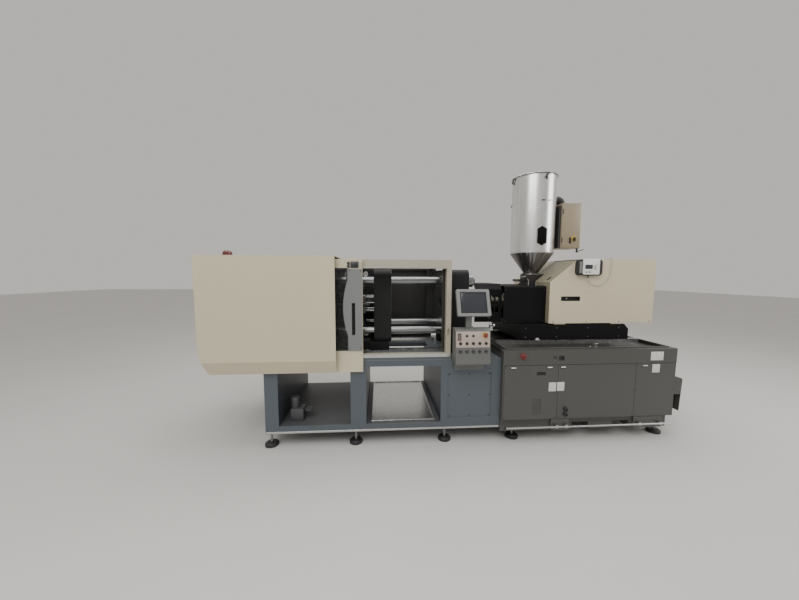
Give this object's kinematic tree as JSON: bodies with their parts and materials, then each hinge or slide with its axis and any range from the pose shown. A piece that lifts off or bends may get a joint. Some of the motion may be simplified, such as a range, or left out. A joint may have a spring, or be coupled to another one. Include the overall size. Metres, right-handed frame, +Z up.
{
  "type": "injection moulding machine",
  "caption": "Horizontal electric injection moulding machine with toggle clamp, sliding safety doors, control panel, injection unit and hopper dryer.",
  "frame": {"origin": "middle of the floor area under the machine, on the floor", "axes": "+X along the machine from the clamp end to the injection end, +Y from the operator side to the back, +Z up"},
  "size_m": [4.59, 1.3534, 2.699],
  "materials": {
    "cover_cream": "satin powder coat, ivory",
    "frame_grey": "satin dark grey paint",
    "black_sheet": "semi-matte black paint",
    "machined_steel": "ground and hard chromed",
    "platen_iron": "machined cast iron, oiled",
    "motor_grey": "fine textured dark paint",
    "handle_grey": "moulded, fine grain",
    "panel_grey": "light grey textured paint",
    "window_clear": "clear polycarbonate sheet",
    "mirror_steel": "polished stainless sheet",
    "dryer_beige": "beige grey satin paint",
    "heater_steel": "heat-tinted band steel",
    "switch_yellow": "glossy",
    "stop_red": "glossy",
    "button_black": "semi-gloss",
    "beacon_red": "dark lens",
    "bumper_rubber": "matte moulded rubber",
    "cable_sheath": "light grey sheath"
  },
  "bodies": {
    "machine_base": {"clamp_base": "frame_grey", "injection_base": "frame_grey", "levelling_feet": "black_sheet", "slide_ways": "machined_steel", "fixed_platen": "platen_iron", "tie_bars": "machined_steel", "front_clamp_cover": "cover_cream", "rear_clamp_cover": "cover_cream", "end_clamp_cover": "cover_cream", "door_frame": "cover_cream", "base_pipe": "machined_steel", "cabinet_covers": "frame_grey", "side_duct": "frame_grey", "control_box": "panel_grey", "warning_beacon": "beacon_red"},
    "front_door": {"front_door": "cover_cream", "door_handle_panel": "handle_grey", "front_door_window": "window_clear"},
    "rear_door": {"rear_door": "cover_cream"},
    "tail": {"tail_platen": "platen_iron", "tail_nuts": "platen_iron", "clamp_motor": "motor_grey"},
    "ball_nut": {"ball_nut": "machined_steel"},
    "crosshead": {"crosshead": "platen_iron", "clamp_ball_screw": "machined_steel"},
    "rear_links_upper": {"rear_links_upper": "platen_iron"},
    "rear_links_lower": {"rear_links_lower": "platen_iron"},
    "front_links_upper": {"front_links_upper": "platen_iron"},
    "front_links_lower": {"front_links_lower": "platen_iron"},
    "crosshead_link_upper": {"crosshead_link_upper": "platen_iron"},
    "crosshead_link_lower": {"crosshead_link_lower": "platen_iron"},
    "moving_platen": {"moving_platen": "platen_iron", "ejector_motor": "motor_grey"},
    "ejector": {"ejector_plate": "machined_steel"},
    "carriage": {"carriage": "black_sheet", "feed_block": "platen_iron", "barrel": "platen_iron", "heater_bands": "heater_steel", "barrel_guard": "black_sheet", "injection_cover": "cover_cream", "injection_frame": "platen_iron", "injection_motor": "motor_grey", "hopper": "mirror_steel", "dryer_box": "dryer_beige", "handheld_unit": "bumper_rubber", "handheld_cable": "cable_sheath"},
    "purge_guard": {"purge_guard": "black_sheet"},
    "pusher": {"pusher_plate": "platen_iron"},
    "plasticizing_screw": {"plasticizing_screw": "machined_steel"},
    "injection_ball_screw": {"injection_ball_screw": "machined_steel"},
    "hopper_lid": {"hopper_lid": "mirror_steel"},
    "shut_off_slide": {"shut_off_slide": "machined_steel"},
    "dryer_switch": {"dryer_switch": "switch_yellow"},
    "screen": {"screen": "panel_grey"},
    "emergency_stop": {"emergency_stop": "stop_red"},
    "push_button_1": {"push_button_1": "button_black"},
    "push_button_2": {"push_button_2": "button_black"},
    "push_button_3": {"push_button_3": "button_black"},
    "push_button_4": {"push_button_4": "button_black"},
    "push_button_5": {"push_button_5": "button_black"}
  },
  "joints": [
    {"name": "front_door_slide", "type": "slide", "parent": "machine_base", "child": "front_door", "axis": [1, 0, 0], "range_m": [0, 0.79]},
    {"name": "rear_door_slide", "type": "slide", "parent": "machine_base", "child": "rear_door", "axis": [1, 0, 0], "range_m": [-0.79, 0]},
    {"name": "mould_height", "type": "slide", "parent": "machine_base", "child": "tail", "axis": [1, 0, 0], "range_m": [-0.2, 0]},
    {"name": "clamp_stroke", "type": "slide", "parent": "tail", "child": "moving_platen", "axis": [1, 0, 0], "range_m": [0, 0.35]},
    {"name": "crosshead_slide", "type": "slide", "parent": "tail", "child": "crosshead", "axis": [1, 0, 0], "range_m": [0, 0.39265]},
    {"name": "rear_link_upper_pivot", "type": "hinge", "parent": "tail", "child": "rear_links_upper", "pos_m": [-1.08, 0.03, 1.61], "axis": [0, 1, 0], "range_deg": [-69.41, 0]},
    {"name": "rear_link_lower_pivot", "type": "hinge", "parent": "tail", "child": "rear_links_lower", "pos_m": [-1.08, 0.03, 0.99], "axis": [0, 1, 0], "range_deg": [0, 69.41]},
    {"name": "front_link_upper_pivot", "type": "hinge", "parent": "moving_platen", "child": "front_links_upper", "pos_m": [-0.89, 0.03, 1.61], "axis": [0, 1, 0], "range_deg": [0, 69.41]},
    {"name": "front_link_lower_pivot", "type": "hinge", "parent": "moving_platen", "child": "front_links_lower", "pos_m": [-0.89, 0.03, 0.99], "axis": [0, 1, 0], "range_deg": [-69.41, 0]},
    {"name": "crosshead_link_upper_pivot", "type": "hinge", "parent": "crosshead", "child": "crosshead_link_upper", "pos_m": [-1.20255, 0.03, 1.39], "axis": [0, 1, 0], "range_deg": [-98.57, 0]},
    {"name": "crosshead_link_lower_pivot", "type": "hinge", "parent": "crosshead", "child": "crosshead_link_lower", "pos_m": [-1.20255, 0.03, 1.21], "axis": [0, 1, 0], "range_deg": [0, 98.57]},
    {"name": "ball_nut_spin", "type": "hinge", "parent": "tail", "child": "ball_nut", "pos_m": [-1.535, 0.03, 1.3], "axis": [1, 0, 0], "range_deg": [0, 5653.2]},
    {"name": "ejector_slide", "type": "slide", "parent": "moving_platen", "child": "ejector", "axis": [1, 0, 0], "range_m": [0, 0.09]},
    {"name": "carriage_slide", "type": "slide", "parent": "machine_base", "child": "carriage", "axis": [1, 0, 0], "range_m": [0, 0.28]},
    {"name": "purge_guard_hinge", "type": "hinge", "parent": "machine_base", "child": "purge_guard", "pos_m": [0.355, 0.21, 1.505], "axis": [1, 0, 0], "range_deg": [-95, 0]},
    {"name": "injection_stroke", "type": "slide", "parent": "carriage", "child": "pusher", "axis": [1, 0, 0], "range_m": [0, 0.14]},
    {"name": "screw_spin", "type": "hinge", "parent": "pusher", "child": "plasticizing_screw", "pos_m": [1.105, 0.03, 1.3], "axis": [1, 0, 0], "continuous": true},
    {"name": "injection_ball_screw_spin", "type": "hinge", "parent": "carriage", "child": "injection_ball_screw", "pos_m": [1.695, 0.03, 1.3], "axis": [1, 0, 0], "range_deg": [0, 2520.5]},
    {"name": "hopper_lid_hinge", "type": "hinge", "parent": "carriage", "child": "hopper_lid", "pos_m": [0.948, 0.285, 2.65], "axis": [1, 0, 0], "range_deg": [-100, 0]},
    {"name": "shut_off_travel", "type": "slide", "parent": "carriage", "child": "shut_off_slide", "axis": [1, 0, 0], "range_m": [-0.09, 0]},
    {"name": "dryer_switch_turn", "type": "hinge", "parent": "carriage", "child": "dryer_switch", "pos_m": [1.343, -0.1, 1.996], "axis": [0, 1, 0], "range_deg": [0, 90]},
    {"name": "screen_swivel", "type": "hinge", "parent": "machine_base", "child": "screen", "pos_m": [0.06, -0.584, 1.242], "axis": [0, 0, 1], "range_deg": [-25, 25]},
    {"name": "emergency_stop_press", "type": "slide", "parent": "machine_base", "child": "emergency_stop", "axis": [0, 0.9967, -0.0814], "range_m": [0, 0.006], "stiffness_N_per_m": 500},
    {"name": "push_button_1_press", "type": "slide", "parent": "machine_base", "child": "push_button_1", "axis": [0, 0.9967, -0.0814], "range_m": [0, 0.004], "stiffness_N_per_m": 300},
    {"name": "push_button_2_press", "type": "slide", "parent": "machine_base", "child": "push_button_2", "axis": [0, 0.9967, -0.0814], "range_m": [0, 0.004], "stiffness_N_per_m": 300},
    {"name": "push_button_3_press", "type": "slide", "parent": "machine_base", "child": "push_button_3", "axis": [0, 0.9967, -0.0814], "range_m": [0, 0.004], "stiffness_N_per_m": 300},
    {"name": "push_button_4_press", "type": "slide", "parent": "machine_base", "child": "push_button_4", "axis": [0, 0.9967, -0.0814], "range_m": [0, 0.004], "stiffness_N_per_m": 300},
    {"name": "push_button_5_press", "type": "slide", "parent": "machine_base", "child": "push_button_5", "axis": [0, 0.9967, -0.0814], "range_m": [0, 0.004], "stiffness_N_per_m": 300}
  ],
  "couplings": [
    {"joint": "crosshead_slide", "follows": "clamp_stroke", "ratio": 1.1216},
    {"joint": "rear_link_upper_pivot", "follows": "clamp_stroke", "rad_per_m": -3.4607},
    {"joint": "rear_link_lower_pivot", "follows": "clamp_stroke", "rad_per_m": 3.4607},
    {"joint": "front_link_upper_pivot", "follows": "clamp_stroke", "rad_per_m": 3.4607},
    {"joint": "front_link_lower_pivot", "follows": "clamp_stroke", "rad_per_m": -3.4607},
    {"joint": "crosshead_link_upper_pivot", "follows": "clamp_stroke", "rad_per_m": -4.9147},
    {"joint": "crosshead_link_lower_pivot", "follows": "clamp_stroke", "rad_per_m": 4.9147},
    {"joint": "ball_nut_spin", "follows": "clamp_stroke", "rad_per_m": 281.88},
    {"joint": "injection_ball_screw_spin", "follows": "injection_stroke", "rad_per_m": 314.16}
  ]
}
